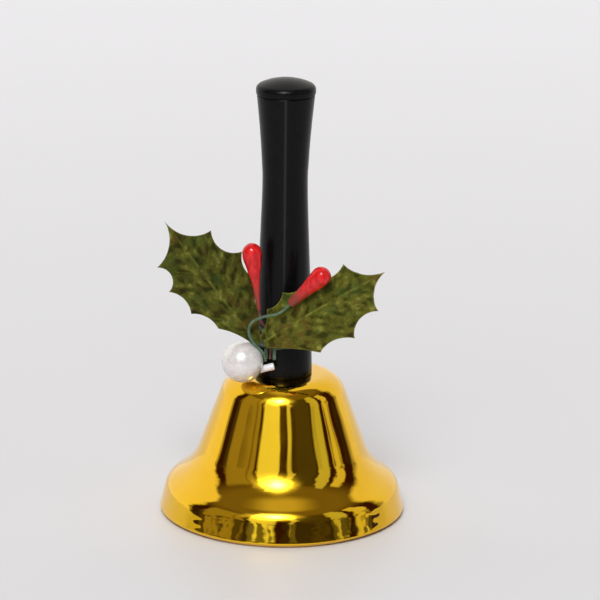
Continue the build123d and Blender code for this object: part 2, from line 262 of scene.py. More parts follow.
def milky_material():
    """Milky plastic: the pearl's stem and the glue that holds it."""
    made, tree, shader = material(
        "milky", ior=1.46, subsurface_weight=0.4, subsurface_scale=0.0015, coat_weight=0.4,
        coat_roughness=0.1,
    )
    clouds = speckle(tree, 1.5, detail=3)
    link(tree, shader, base_color=mix(tree, clouds, (0.74, 0.70, 0.73), (0.84, 0.80, 0.80)))
    link(tree, shader, roughness=ramp(tree, clouds, 0.3, 0.7, 0.25, 0.5))
    link(tree, shader, normal=bump(tree, speckle(tree, 0.6), 0.02))
    return made


def paper_material(name, light, deep, fibre):
    """Waxed paper wound on wire: fibres and dye blotches, with painted shade at the foot of each overlapping
    turn and in the troughs of crepe pleats.
    """
    made, tree, shader = material(name, specular_ior_level=0.35, sheen_weight=0.08)
    blotches = speckle(tree, 1.6, detail=4, roughness=0.6)
    fibres = speckle(tree, 0.22, (1, 1, 0.25), detail=4, roughness=0.7)
    colour = mix(tree, ramp(tree, blotches, 0.32, 0.7), light, deep)
    colour = mix(tree, ramp(tree, fibres, 0.58, 0.8, 0.0, 0.6), colour, fibre)
    # Painted shade: darker where the fold number is low, at the foot of each turn's step and in pleat
    # troughs.
    fold = named(tree, "fold")
    colour = mix(tree, ramp(tree, fold, 0.0, 1.0, 0.45, 0.0), colour, deep)
    link(tree, shader, base_color=colour)
    link(tree, shader, roughness=ramp(tree, fibres, 0.3, 0.8, 0.45, 0.75))
    link(tree, shader, normal=bump(tree, fibres, 0.05))
    return made


def floor_material():
    """Matt pale studio board with painted light, a little lighter far from the bell, and the faintest
    unevenness.
    """
    made, tree, shader = material("studio_board", specular_ior_level=0.35)
    fibres = speckle(tree, 30, detail=3)
    near = mix(tree, fibres, (0.67, 0.66, 0.69), (0.685, 0.675, 0.705))
    # Painted light: the board's colour brightens out to a metre from the bell.
    reach = tree.nodes.new("ShaderNodeVectorMath")
    reach.operation = "LENGTH"
    tree.links.new(place(tree), reach.inputs[0])
    far = ramp(tree, reach.outputs[1], 0.0, 1.0)
    link(tree, shader, base_color=mix(tree, far, near, (0.795, 0.785, 0.825)))
    link(tree, shader, roughness=ramp(tree, fibres, 0.2, 0.8, 0.42, 0.48))
    return made


# ---- meshes ----------------------------------------------------------------------------------
def mesh_piece(name, points, faces, finish, layers=None):
    """A smooth mesh from points in millimetres, with named numbers or vectors on its points."""
    data = bpy.data.meshes.new(name)
    data.from_pydata([tuple(float(v) * MM for v in p) for p in points], [], faces)
    data.validate()
    for key, values in (layers or {}).items():
        values = np.asarray(values, np.float32)
        if values.ndim == 2:
            data.attributes.new(key, "FLOAT_VECTOR", "POINT").data.foreach_set("vector", values.ravel())
        else:
            data.attributes.new(key, "FLOAT", "POINT").data.foreach_set("value", values)
    data.shade_smooth()
    data.materials.append(finish)
    piece = bpy.data.objects.new(name, data)
    bpy.context.scene.collection.objects.link(piece)
    return piece


def fitted(name, node, mesh, finish, layers=None, body="bell"):
    """A mesh piece that rides on a body and stands for a CAD node there."""
    piece = mesh_piece(name, *mesh, finish, layers)
    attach(piece, body)
    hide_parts(node)
    return piece


def polar(radius, angle, height):
    """The point at a radius and angle round Z."""
    return (radius * math.cos(angle), radius * math.sin(angle), height)


def box_of(node):
    """A CAD node's lowest and highest corners, in millimetres."""
    return [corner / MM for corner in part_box(node)]


def along(start, end, step):
    """Points from start towards end, about a step apart, without the end."""
    start, end = np.array(start, float), np.array(end, float)
    count = max(1, int(math.ceil(np.linalg.norm(end - start) / step)))
    return [start + (end - start) * k / count for k in range(count)]


def rounded(corners, bends, step):
    """An outline through corner points whose inner corners are rounded to the given radii."""
    corners = [np.array(c, float) for c in corners]
    outline, start = [], corners[0]
    for before, corner, after, radius in zip(corners, corners[1:], corners[2:], bends):
        towards = (before - corner) / np.linalg.norm(before - corner)
        away = (after - corner) / np.linalg.norm(after - corner)
        half = math.acos(float(np.clip(towards @ away, -1, 1))) / 2
        inward = (towards + away) / np.linalg.norm(towards + away)
        centre = corner + inward * radius / math.sin(half)
        first = corner + towards * radius / math.tan(half)
        last = corner + away * radius / math.tan(half)
        outline += along(start, first, step)
        sweep = math.pi - 2 * half
        spoke = first - centre
        turn = math.copysign(1, spoke[0] * (last - centre)[1] - spoke[1] * (last - centre)[0])
        count = max(6, int(math.ceil(radius * sweep / step)))
        for k in range(count):
            a = turn * sweep * k / count
            rotated = (
                spoke[0] * math.cos(a) - spoke[1] * math.sin(a),
                spoke[0] * math.sin(a) + spoke[1] * math.cos(a),
            )
            outline.append(centre + rotated)
        start = last
    outline += along(start, corners[-1], step)
    outline.append(corners[-1])
    return [tuple(p) for p in outline]


def shifted(corners, distance):
    """The corner points of the same outline moved sideways, to the right of its direction."""
    corners = [np.array(c, float) for c in corners]
    sides = []
    for a, b in zip(corners, corners[1:]):
        d = (b - a) / np.linalg.norm(b - a)
        sides.append((a + distance * np.array((d[1], -d[0])), d))
    moved = [sides[0][0]]
    for (p, d), (q, e) in zip(sides, sides[1:]):
        cross = d[0] * e[1] - d[1] * e[0]
        gap = q - p
        moved.append(p + d * (gap[0] * e[1] - gap[1] * e[0]) / cross)
    end, d = sides[-1]
    moved.append(end + d * np.linalg.norm(corners[-1] - corners[-2]))
    return moved


def above(outline, floor):
    """The part of an outline above a height, cut where it crosses it."""
    kept = []
    for a, b in zip(outline, outline[1:]):
        if a[1] >= floor:
            kept.append(a)
        if (a[1] - floor) * (b[1] - floor) < 0:
            share = (floor - a[1]) / (b[1] - a[1])
            kept.append((a[0] + share * (b[0] - a[0]), floor))
    if outline[-1][1] >= floor:
        kept.append(outline[-1])
    return kept


def skinned(rows, closed=False):
    """Faces between neighbouring rows of point numbers; a row of one point is a pole."""
    faces = []
    for first, second in zip(rows, rows[1:] + (rows[:1] if closed else [])):
        sides = max(len(first), len(second))
        for k in range(sides):
            n = (k + 1) % sides
            if len(first) == 1:
                faces.append((first[0], second[n], second[k]))
            elif len(second) == 1:
                faces.append((first[k], first[n], second[0]))
            else:
                faces.append((first[k], first[n], second[n], second[k]))
    return faces


def lathe(outline, segments, closed=False, relief=None):
    """Points and faces of an outline of (radius, height) turned round Z. Relief moves a point outward."""
    points, rows = [], []
    for radius, height in outline:
        if radius < 1e-6:
            rows.append([len(points)])
            points.append((0.0, 0.0, height))
            continue
        row = []
        for k in range(segments):
            angle = TURN * k / segments
            r = radius + (relief(radius, height, angle) if relief else 0.0)
            row.append(len(points))
            points.append(polar(r, angle, height))
        rows.append(row)
    return points, skinned(rows, closed)


def stood(points, centre, axis):
    """Turns points so that their Z runs along axis, and moves their origin to centre."""
    turn = Vector((0, 0, 1)).rotation_difference(Vector(axis)).to_matrix()
    return [turn @ Vector(p) + Vector(centre) for p in points]


def flowing(route, count):
    """Points on a smooth quadratic B-spline that starts and ends at the route's ends."""
    route = np.array(route, float)
    spans = len(route) - 2
    points = []
    for t in np.linspace(0, spans, count):
        i = min(int(t), spans - 1)
        u = t - i
        first = route[i] if i == 0 else (route[i] + route[i + 1]) / 2
        last = route[i + 2] if i == spans - 1 else (route[i + 1] + route[i + 2]) / 2
        points.append((1 - u) ** 2 * first + 2 * u * (1 - u) * route[i + 1] + u * u * last)
    return np.array(points)


def evenly(line, step):
    """The same line with its points a step apart."""
    lengths = np.concatenate([[0], np.cumsum(np.linalg.norm(np.diff(line, axis=0), axis=1))])
    stations = np.linspace(0, lengths[-1], max(4, int(lengths[-1] / step)))
    return np.stack([np.interp(stations, lengths, line[:, k]) for k in range(3)], 1), stations


def tube(line, stations, radius_at, sides=16):
    """Points, faces and a number per point of a tube along a line; radius_at gives radius and number."""
    tangents = np.gradient(line, axis=0)
    tangents /= np.linalg.norm(tangents, axis=1)[:, None]
    across = np.cross(tangents[0], (0.31, 0.47, 0.83))
    points, values, rings = [], [], []
    for centre, tangent, station in zip(line, tangents, stations):
        across = across - tangent * (across @ tangent)
        across /= np.linalg.norm(across)
        other = np.cross(tangent, across)
        ring = []
        for k in range(sides):
            angle = TURN * k / sides
            radius, value = radius_at(station, angle)
            ring.append(len(points))
            points.append(centre + radius * (across * math.cos(angle) + other * math.sin(angle)))
            values.append(value)
        rings.append(ring)
    for centre in (line[0], line[-1]):
        points.append(centre)
        values.append(1.0)
    ends = len(points) - 2
    return points, skinned([[ends], *rings, [ends + 1]]), values


# ---- design dimensions, in millimetres, shared with the CAD frame -----------------------------
CROWN_Z = box_of("bell_shell")[1].z
RIM_RADIUS = 37.5
WALL = 0.9
CROWN_HOLE = 1.8
CROWN_FLAT = 9.5
SHOULDER = (17.15, CROWN_Z - 0.45)
FLANK_FOOT = (27.35, 15.6)
LIP_TOP = (35.4, 9.65)
RIM_FOOT = (34.4, -1.4)
BELL_BENDS = (20.0, 8.0, 17.0, 6.5)
BELL_SIDES = 288

cap_high = box_of("handle_end_cap")[1]
HANDLE_TOP = cap_high.z
CAP_RADIUS = cap_high.x
SEAM_Z = box_of("handle_grip")[1].z
FOOT_RADIUS = 8.75
CORE_RADIUS = 5.2
CORE_FLOOR = 62.0
PILOT_RADIUS = 1.6
DOME_RADIUS = 19.0
CAP_EDGE = 1.8
PLUG_DEPTH = 5.0
GRIP_SIDES = 240
CAP_SIDES = 192

LEAF_TILT = math.radians(16)
LEAF_BULGE = 2.0
LEAF_CLOTH = 0.42


# ---- bell --------------------------------------------------------------------------------------
def build_bell(gold, dull_gold):
    corners = [
        (CROWN_HOLE, CROWN_Z),
        (CROWN_FLAT, CROWN_Z),
        SHOULDER,
        FLANK_FOOT,
        LIP_TOP,
        (RIM_RADIUS + 0.08, 1.3),
        RIM_FOOT,
    ]
    # A bend that swells outward is tighter on the inner skin, and the one at the waist is wider.
    swells = (-1, -1, 1, -1)
    inner_bends = [bend + way * WALL for bend, way in zip(BELL_BENDS, swells)] + [0.25]
    outer = above(rounded(corners, [*BELL_BENDS, 0.6], 0.45), 0.0)
    inner = above(rounded(shifted(corners, WALL), inner_bends, 0.8), 0.0)
    outline = outer + inner[::-1]
    shallow = 0.012

    def hand_spun(radius, height, angle):
        spot = Vector(polar(radius, angle, height)) / 11
        return shallow * noise.noise(spot) if height > 0.5 else 0.0

    skin = lathe(outline, BELL_SIDES, closed=True, relief=hand_spun)
    shell = fitted("bell", "bell_shell", skin, gold)
    shell.data.materials.append(dull_gold)
    first_inner = (len(outer) - 1) * BELL_SIDES
    inside = [int(p.vertices[0] >= first_inner) for p in shell.data.polygons]
    shell.data.polygons.foreach_set("material_index", inside)


# ---- handle ------------------------------------------------------------------------------------
def smooth_through(knots, step):
    """A smooth curve through (radius, height) knots, as points about a step apart."""
    knots = np.array(knots, float)
    ends = np.vstack([2 * knots[0] - knots[1], knots, 2 * knots[-1] - knots[-2]])
    points = []
    for a, b, c, d in zip(ends, ends[1:], ends[2:], ends[3:]):
        count = max(2, int(np.linalg.norm(c - b) / step))
        for k in range(count):
            t = k / count
            curved = (2 * a - 5 * b + 4 * c - d) * t**2 + (3 * b - 3 * c + d - a) * t**3
            points.append(0.5 * (2 * b + (c - a) * t + curved))
    return [tuple(p) for p in points] + [tuple(knots[-1])]


def moulded(radius, height, angle):
    """Relief of a moulded part: two parting lines down its sides and very shallow sinks."""
    spot = Vector(polar(1.0, angle, height / 22))
    return 0.05 * parting_line(radius, angle) + 0.02 * noise.noise(spot * 1.3)


def parting_line(radius, angle):
    """How near a place on the grip is to the two lines where the halves of its mould met, from 0 to 1."""
    aside = abs(angle % math.pi - math.pi / 2) * radius
    return math.exp(-((aside / 0.45) ** 2))


def build_handle(black):
    knots = [
        (FOOT_RADIUS, CROWN_Z + 0.35),
        (8.6, 52.0),
        (8.05, 70.0),
        (6.9, 100.5),
        (7.12, 110.8),
        (7.79, 120.7),
        (CAP_RADIUS - 0.28, SEAM_Z - 0.5),
    ]
    flank = smooth_through(knots, 0.9)
    foot = [(PILOT_RADIUS, CROWN_Z), (FOOT_RADIUS - 0.7, CROWN_Z), (FOOT_RADIUS - 0.25, CROWN_Z + 0.04)]
    foot.append((FOOT_RADIUS - 0.05, CROWN_Z + 0.15))
    shoulder = [(CAP_RADIUS - 0.3, SEAM_Z - 0.3), (CAP_RADIUS - 0.42, SEAM_Z - 0.12)]
    shoulder.append((CAP_RADIUS - 0.7, SEAM_Z))
    top = [(CORE_RADIUS + 0.4, SEAM_Z), (CORE_RADIUS + 0.05, SEAM_Z - 0.2)]
    top += [(CORE_RADIUS, CORE_FLOOR), (PILOT_RADIUS, CORE_FLOOR)]
    points, faces = lathe(foot + flank + shoulder + top, GRIP_SIDES, closed=True, relief=moulded)
    # The painted highlight along the parting lines fades out towards the foot.
    seam = []
    for x, y, z in points:
        fade = min(1.0, max(0.0, (z - 58) / 25))
        seam.append(parting_line(math.hypot(x, y), math.atan2(y, x)) * fade)
    grip = (points, [f[::-1] for f in faces])
    fitted("grip", "handle_grip", grip, black, {"seam": seam})

    dome = []
    reach = math.asin((CAP_RADIUS - CAP_EDGE) / (DOME_RADIUS - CAP_EDGE))
    for k in range(17):
        a = reach * k / 16
        dome.append((DOME_RADIUS * math.sin(a), HANDLE_TOP - DOME_RADIUS * (1 - math.cos(a))))
    edge_z = HANDLE_TOP - DOME_RADIUS + (DOME_RADIUS - CAP_EDGE) * math.cos(reach)
    for k in range(1, 15):
        a = reach + (math.pi / 2 - reach) * k / 14
        dome.append((CAP_RADIUS - CAP_EDGE + CAP_EDGE * math.sin(a), edge_z + CAP_EDGE * math.cos(a)))
    skirt = [(CAP_RADIUS, z) for z in np.linspace(edge_z - 0.4, SEAM_Z + 0.45, 6)]
    under = [(CAP_RADIUS - 0.06, SEAM_Z + 0.2), (CAP_RADIUS - 0.3, SEAM_Z + 0.05)]
    under.append((CAP_RADIUS - 0.55, SEAM_Z))
    plug = [(5.3, SEAM_Z), (5.15, SEAM_Z - 0.2), (5.1, SEAM_Z - PLUG_DEPTH + 0.4)]
    plug += [(4.8, SEAM_Z - PLUG_DEPTH), (0.0, SEAM_Z - PLUG_DEPTH)]
    cap = lathe(dome + skirt + under + plug, CAP_SIDES)
    fitted("end_cap", "handle_end_cap", cap, black)


# ---- holly leaves ------------------------------------------------------------------------------
class LeafPlane:
    """The flat plane of a leaf: X from its base to its tip, Z towards the viewer of the spray."""

    def __init__(self, base, tip):
        self.base = np.array(base, float)
        way = np.array(tip, float) - self.base
        self.length = float(np.linalg.norm(way))
        self.x = way / self.length
        facing = np.array((0, -math.cos(LEAF_TILT), math.sin(LEAF_TILT)))
        z = facing - self.x * (facing @ self.x)
        self.z = z / np.linalg.norm(z)
        self.y = np.cross(self.z, self.x)

    def bow(self, x):
        """Height of the lengthwise bow above the plane."""
        radius = (self.length**2 / 4 + LEAF_BULGE**2) / (2 * LEAF_BULGE)
        return np.sqrt(radius**2 - (x - self.length / 2) ** 2) - (radius - LEAF_BULGE)

    def place(self, x, y, z):
        return self.base + np.outer(x, self.x) + np.outer(y, self.y) + np.outer(z, self.z)


def leaf_outline(edge, step):
    """The spiny outline: spines joined by circular hollows, as points about a step apart."""
    outline = []
    for (start, hollow), (end, _) in zip(edge, edge[1:] + edge[:1]):
        start, end = np.array(start, float), np.array(end, float)
        chord = end - start
        length = np.linalg.norm(chord)
        inward = np.array((chord[1], -chord[0])) / length
        count = max(2, int(length / step))
        for k in range(count):
            t = k / count
            if hollow:
                radius = (length**2 / 4 + hollow**2) / (2 * hollow)
                rise = math.sqrt(radius**2 - ((t - 0.5) * length) ** 2) - (radius - hollow)
            else:
                rise = 0.0
            outline.append(start + chord * t + inward * rise)
    return np.array(outline)


def inside_outline(points, outline):
    """Which points lie inside a closed outline."""
    x, y = points[:, 0][:, None], points[:, 1][:, None]
    ax, ay = outline[:, 0][None], outline[:, 1][None]
    bx, by = np.roll(outline[:, 0], -1)[None], np.roll(outline[:, 1], -1)[None]
    crosses = (ay > y) != (by > y)
    with np.errstate(divide="ignore", invalid="ignore"):
        at = ax + (y - ay) / (by - ay) * (bx - ax)
    return (np.sum(crosses & (x < at), axis=1) % 2) == 1


def distance_to(points, line):
    """Each point's distance to the nearest point of a finely divided line."""
    gaps = points[:, None, :] - line[None, :, :]
    return np.sqrt((gaps**2).sum(2).min(1))


def leaf_veins(edge, length):
    """The midrib, and a curved side vein from it to each spine."""
    x = np.linspace(0, length, 160)
    midrib = np.stack([x, 0.35 * np.sin(x / length * math.pi)], 1)
    side_veins = []
    for (spine, _) in edge[1:-1]:
        if abs(spine[1]) < 1:
            continue
        root = max(1.5, spine[0] - 0.95 * abs(spine[1]))
        bend = (root + 0.45 * (spine[0] - root), 0.62 * spine[1])
        t = np.linspace(0, 1, 60)[:, None]
        start, middle, end = np.array((root, 0.3)), np.array(bend), np.array(spine)
        side_veins.append((1 - t) ** 2 * start + 2 * t * (1 - t) * middle + t**2 * end)
    return midrib, np.vstack(side_veins)


def leaf_surface(plane, edge, points, seed):
    """Height of the cloth's middle above its plane, and a painted lightness from 0 to 1: painted light on
    the crests and painted shade in the pits of the embossing, raised along the paler veins.
    """
    midrib, side_veins = leaf_veins(edge, plane.length)
    from_midrib = distance_to(points, midrib)
    from_vein = distance_to(points, side_veins)
    x, y = points[:, 0], points[:, 1]
    groove = 0.28 * np.exp(-((from_midrib / 0.75) ** 2)) + 0.2 * np.exp(-((from_vein / 0.6) ** 2))
    pillow = 0.28 * (1 - np.exp(-((np.minimum(from_midrib, from_vein) / 1.5) ** 2)))
    crumple = np.zeros(len(points))
    ruffle = np.zeros(len(points))
    for k, (px, py) in enumerate(points):
        # Creases run out and forward, as the side veins do.
        lean = px - 0.7 * abs(py)
        broad = noise.noise(Vector((px / 4.2, py / 4.2, seed + 5)))
        coarse = noise.noise(Vector((lean / 2.2, py / 2.0, seed)))
        fine = noise.noise(Vector((lean / 1.05, py / 1.05, seed + 3)))
        crumple[k] = 0.6 * broad + 0.8 * coarse + 0.25 * fine + 0.2 * (0.5 - 2 * abs(coarse))
        ruffle[k] = noise.noise(Vector((px / 9, py / 9, seed + 7)))
    cup = -0.0045 * y**2
    height = plane.bow(x) + cup + pillow - groove + 0.42 * crumple + 0.55 * ruffle * np.abs(y) / 8
    veined = np.maximum(np.exp(-((from_midrib / 0.42) ** 2)), 0.8 * np.exp(-((from_vein / 0.34) ** 2)))
    # Painted light and shade: higher crumples are coloured lighter, lower ones darker.
    light = 0.42 + 0.62 * crumple
    return height, np.clip(np.maximum(light, 0.8 * veined), 0, 1)


def build_leaf(name, node, plane, edge, finish, seed):
    """A thin stiffened leaf of cloth: two skins and a cut edge, embossed with veins."""
    outline = leaf_outline(edge, 0.35)
    spacing = 0.42
    low, high = outline.min(0), outline.max(0)
    rows = np.arange(low[1], high[1], spacing * 0.87)
    grid = np.array(
        [
            (x + (r % 2) * spacing / 2, y)
            for r, y in enumerate(rows)
            for x in np.arange(low[0], high[0], spacing)
        ]
    )
    grid = grid[inside_outline(grid, outline)]
    grid = grid[distance_to(grid, outline) > spacing * 0.6]
    flat = [Vector(p) for p in np.vstack([outline, grid])]
    ring = [(k, (k + 1) % len(outline)) for k in range(len(outline))]
    spots, _, triangles, *_ = delaunay_2d_cdt(flat, ring, [], 1, 1e-5)
    spots = np.array([(p[0], p[1]) for p in spots])
    height, relief = leaf_surface(plane, edge, spots, seed)
    hem = np.exp(-((distance_to(spots, outline) / 0.35) ** 2))
    half = LEAF_CLOTH / 2 * (1 - 0.45 * hem)
    front = plane.place(spots[:, 0], spots[:, 1], height + half)
    back = plane.place(spots[:, 0], spots[:, 1], height - half)
    count = len(spots)
    uses = {}
    for a, b, c in triangles:
        for pair in ((a, b), (b, c), (c, a)):
            uses[pair] = True
    rim = [pair for pair in uses if pair[::-1] not in uses]
    faces = [tuple(t) for t in triangles]
    faces += [(c + count, b + count, a + count) for a, b, c in triangles]
    faces += [(b, a, a + count, b + count) for a, b in rim]
    flat_place = np.stack([spots[:, 0], spots[:, 1], np.full(count, float(seed))], 1)
    layers = {
        "flat": np.vstack([flat_place, flat_place + (0, 0, 5)]),
        # The back skin gets less of the painted light, so it comes out darker.
        "relief": np.concatenate([relief, relief * 0.4]),
        "hem": np.concatenate([hem, hem]),
    }
    leaf = fitted(name, node, (np.vstack([front, back]), faces), finish, layers)


left_plane = LeafPlane((-7.6, -9.0, 55.4), (-36.3, -3.0, 92.1))
right_plane = LeafPlane((-6.1, -10.8, 56.5), (30.0, -17.5, 80.7))

# Each point is a spine (or the base or tip), with the depth of the hollow that follows it.
left_edge = [
    ((0, 1.2), 0.8),
    ((11.1, 6.8), 1.4),
    ((19.6, 10.6), 1.7),
    ((28.9, 11.9), 2.8),
    ((36.9, 10.3), 2.6),
    ((left_plane.length, 0), 3.0),
    ((36.0, -9.4), 2.9),
    ((25.3, -13.0), 2.0),
    ((15.5, -11.8), 1.4),
    ((7.5, -6.2), 0.5),
    ((0, -1.2), 0),
]
right_edge = [
    ((0, 2.0), 0.8),
    ((6.3, 8.0), 1.2),
    ((13.6, 10.0), 1.9),
    ((23.7, 10.2), 2.4),
    ((34.3, 8.2), 1.8),
    ((right_plane.length, 0), 2.1),
    ((36.3, -9.1), 2.6),
    ((25.8, -12.7), 1.9),
    ((14.4, -11.3), 0.5),
    ((0, -2.0), 0),
]


# ---- wires of the spray -------------------------------------------------------------------------
WIRE_SEAT = FOOT_RADIUS - 0.05
LEAF_WIRE = 0.6
BERRY_WIRE = 0.45
BERRY_RADIUS = 3.0
BUNDLE_LOW = 50.4
BUNDLE_TOP = 59.0
LEFT_LEAF_ANGLE = 236
LEFT_BERRY_ANGLE = 244.5
RIGHT_LEAF_ANGLE = 253


def beside_handle(degrees, wire, z):
    """A place on a wire that runs up against the handle's foot."""
    return polar(WIRE_SEAT + wire, math.radians(degrees), z)


def under_leaf(plane, x):
    height = float(plane.bow(x)) - 0.4 - LEAF_WIRE - 0.5
    return tuple(plane.place([x], [0.0], [height])[0])


def wrapped(radius, pitch):
    """Radius of a wire wound with a paper strip: a small step where each turn overlaps the last."""

    def at(station, angle):
        turn = (station / pitch + angle / TURN) % 1.0
        lift = turn if turn < 0.85 else (1 - turn) / 0.15 * 0.85
        # The second number, low just past each step, sets where the paper gets painted shade.
        return radius * (0.93 + 0.08 * lift), lift

    return at


def build_wire(name, node, route, radius, pitch, finish):
    line, stations = evenly(flowing(route, 400), 0.16)
    points, faces, fold = tube(line, stations, wrapped(radius, pitch), 18)
    fitted(name, node, (points, faces), finish, {"fold": fold})


def build_wires(green, reddish):
    for name, node, plane, near, degrees in (
        ("left_leaf_wire", "leaf_wire_left", left_plane, 9, LEFT_LEAF_ANGLE),
        ("right_leaf_wire", "leaf_wire_right", right_plane, 8, RIGHT_LEAF_ANGLE),
    ):
        route = [under_leaf(plane, x) for x in (28, 20, near + 4, near)]
        route += [beside_handle(degrees, LEAF_WIRE, z) for z in (BUNDLE_TOP, TAPE_HIGH, 53.0, BUNDLE_LOW)]
        build_wire(name, node, route, LEAF_WIRE, 1.5, green)
    left_route = [(-7.45, -9.8, 66.2), (-7.2, -9.4, 64.0), (-7.0, -8.8, 62.2)]
    left_route += [beside_handle(LEFT_BERRY_ANGLE, BERRY_WIRE, z) for z in (58.5, 56.0, 53.0, BUNDLE_LOW)]
    build_wire("left_berry_stem", "berry_stem_left", left_route, BERRY_WIRE, 1.1, reddish)
    right_route = [
        (2.1, -15.3, 70.0),
        (-0.5, -14.2, 66.7),
        (-3.6, -13.4, 65.6),
        (-6.6, -12.6, 64.9),
        (-10.2, -11.2, 62.6),
        (-10.6, -10.9, 58.6),
        (-8.4, -11.3, 55.4),
        (-5.7, -10.6, 52.8),
        (-5.4, -9.6, 50.2),
    ]
    build_wire("right_berry_stem", "berry_stem_right", right_route, BERRY_WIRE, 1.1, green)


# ---- berries --------------------------------------------------------------------------------------
def drop_outline(bulb, shoulder, neck, length):
    """Outline of a drop from its crown, through its widest ring at 0, to its neck at -length."""
    crown = [(bulb * math.sin(a), bulb * math.cos(a)) for a in np.linspace(0, math.pi / 2, 14)]
    knots = [(bulb, 0.0), (0.93 * bulb, -0.13 * length), (shoulder, -0.5 * length)]
    knots += [(0.42 * shoulder + 0.58 * neck, -0.76 * length), (neck, -length)]
    flank = smooth_through(knots, 0.35)
    return crown[:-1] + flank + [(0.6 * neck, -length - 0.12), (0.0, -length - 0.15)]


def build_berry(name, node, centre, end, bulb, shoulder, neck, finish, seed):
    axis = Vector(centre) - Vector(end)
    outline = drop_outline(bulb, shoulder, neck, axis.length)

    def dipped(radius, height, angle):
        spot = Vector(polar(1.0, angle, height / 3 + seed))
        return 0.05 * radius * (noise.noise(spot) + 0.5 * noise.noise(spot * 2.3)) - 0.02 * radius

    points, faces = lathe(outline, 72, relief=dipped)
    down = [min(1.0, max(0.0, -p[2] / axis.length)) for p in points]
    drop = (stood(points, centre, axis), faces)
    fitted(name, node, drop, finish, {"neck": down})


def build_berries(red):
    left = ((-9.7, -8.5, 83.7), (-7.45, -9.8, 66.2), BERRY_RADIUS, 1.35, BERRY_WIRE + 0.1)
    right = ((11.0, -18.9, 79.5), (2.1, -15.3, 70.0), BERRY_RADIUS, 2.0, 1.3)
    build_berry("left_berry", "berry_left", *left, red, 3)
    build_berry("right_berry", "berry_right", *right, red, 11)


# ---- pearl ----------------------------------------------------------------------------------------
pearl_low, pearl_high = box_of("pearl_bead")
pearl_centre = (pearl_low + pearl_high) / 2
PEARL_RADIUS = (pearl_high.z - pearl_low.z) / 2
STUB_RADIUS = 1.1
STUB_LENGTH = 7.0
stub_end = Vector((-2.7, -9.8, 48.6))
stub_way = (stub_end - Vector((-6.6, -9.8, 47.6))).normalized()


def build_pearl(nacre, milky):
    stub_root = stub_end - stub_way * STUB_LENGTH
    axis = (stub_root - pearl_centre).normalized()
    hole = STUB_RADIUS + 0.2
    mouth = math.asin(hole / PEARL_RADIUS)
    brink = PEARL_RADIUS * math.cos(mouth)
    outline = [(hole - 0.1, brink - 1.6), (hole - 0.05, brink - 0.3), (hole + 0.05, brink - 0.06)]
    for a in np.linspace(mouth + 0.035, math.pi, 72):
        outline.append((max(0.0, PEARL_RADIUS * math.sin(a)), PEARL_RADIUS * math.cos(a)))
    outline[-1] = (0.0, -PEARL_RADIUS)
    outline.insert(0, (0.0, outline[0][1]))
    points, faces = lathe(outline, 112)
    fitted("pearl", "pearl_bead", (stood(points, pearl_centre, axis), faces), nacre)

    profile = [(0.0, 0.0), (0.7, 0.0)]
    for a in np.linspace(0.3, 1.57, 6):
        profile.append((STUB_RADIUS - 0.4 + 0.4 * math.sin(a), 0.4 - 0.4 * math.cos(a)))
    profile += [(STUB_RADIUS + 0.03 * math.sin(z * 1.9), z) for z in np.linspace(0.6, STUB_LENGTH - 0.5, 24)]
    profile += [(STUB_RADIUS * 0.9, STUB_LENGTH - 0.1), (0.0, STUB_LENGTH)]
    points, faces = lathe(profile, 40)
    stub = (stood(points, stub_end, -stub_way), [f[::-1] for f in faces])
    fitted("pearl_stub", "pearl_stem", stub, milky)


# ---- tape and tie wire -------------------------------------------------------------------------------
TAPE_LOW = 53.6
TAPE_HIGH = 57.4
TAPE_THICKNESS = 0.3
TIE_WIRE = 0.35
TIE_TURNS = 3
TWIST_DEGREES = 65


def wrap_radius(margin):
    """How far the outline drawn tight round the handle and its two outer wires is, at any angle."""
    rings = [(0.0, 0.0, WIRE_SEAT)]
    for degrees in (LEFT_LEAF_ANGLE, RIGHT_LEAF_ANGLE):
        rings.append((*beside_handle(degrees, LEAF_WIRE, 0)[:2], LEAF_WIRE + 0.05))
    turns = np.linspace(0, TURN, 721)
    reach = np.max([x * np.cos(turns) + y * np.sin(turns) + r + margin for x, y, r in rings], axis=0)

    def at(angle):
        # The hull's radius is the least reach of its tangent lines along this direction.
        gap = np.cos(turns - angle)
        ahead = gap > 0.2
        return float(np.min(reach[ahead] / gap[ahead]))

    table = [at(a) for a in np.linspace(0, TURN, 361)]
    return lambda angle: float(np.interp(angle % TURN, np.linspace(0, TURN, 361), table))


def build_tape(crepe):
    """Crepe tape wound twice round the handle's foot; its free edges waver and its skin is pleated."""
    inside = wrap_radius(0.02)
    sides, rows = 360, 18
    points, fold = [], []
    loops = []
    for layer in range(2):
        for r in range(rows + 1):
            row = r if layer == 0 else rows - r
            loop = []
            for k in range(sides):
                angle = TURN * k / sides
                spot = Vector(polar(3, angle, row * 0.15))
                sway = 0.22 * noise.noise(spot + Vector((0, 0, 9)))
                z = TAPE_LOW + 0.2 + (TAPE_HIGH - TAPE_LOW - 0.4) * row / rows + sway * (row in (0, rows))
                pleat = 0.5 + 0.5 * math.sin(angle * 96 + 2.5 * noise.noise(spot))
                step = 0.1 if row > rows * 0.45 + 2.2 * math.sin(angle) else 0.0
                skin = 0.02 if layer == 0 else 0.13 + 0.07 * pleat + step * 0.7
                loop.append(len(points))
                points.append(polar(inside(angle) + skin, angle, z))
                # Painted shade: the pleat troughs, and all of the inner layer, are coloured darker.
                fold.append(pleat if layer else 0.0)
            loops.append(loop)
    faces = skinned(loops[::-1], closed=True)
    fitted("crepe_tape", "floral_tape", (points, faces), crepe, {"fold": fold})


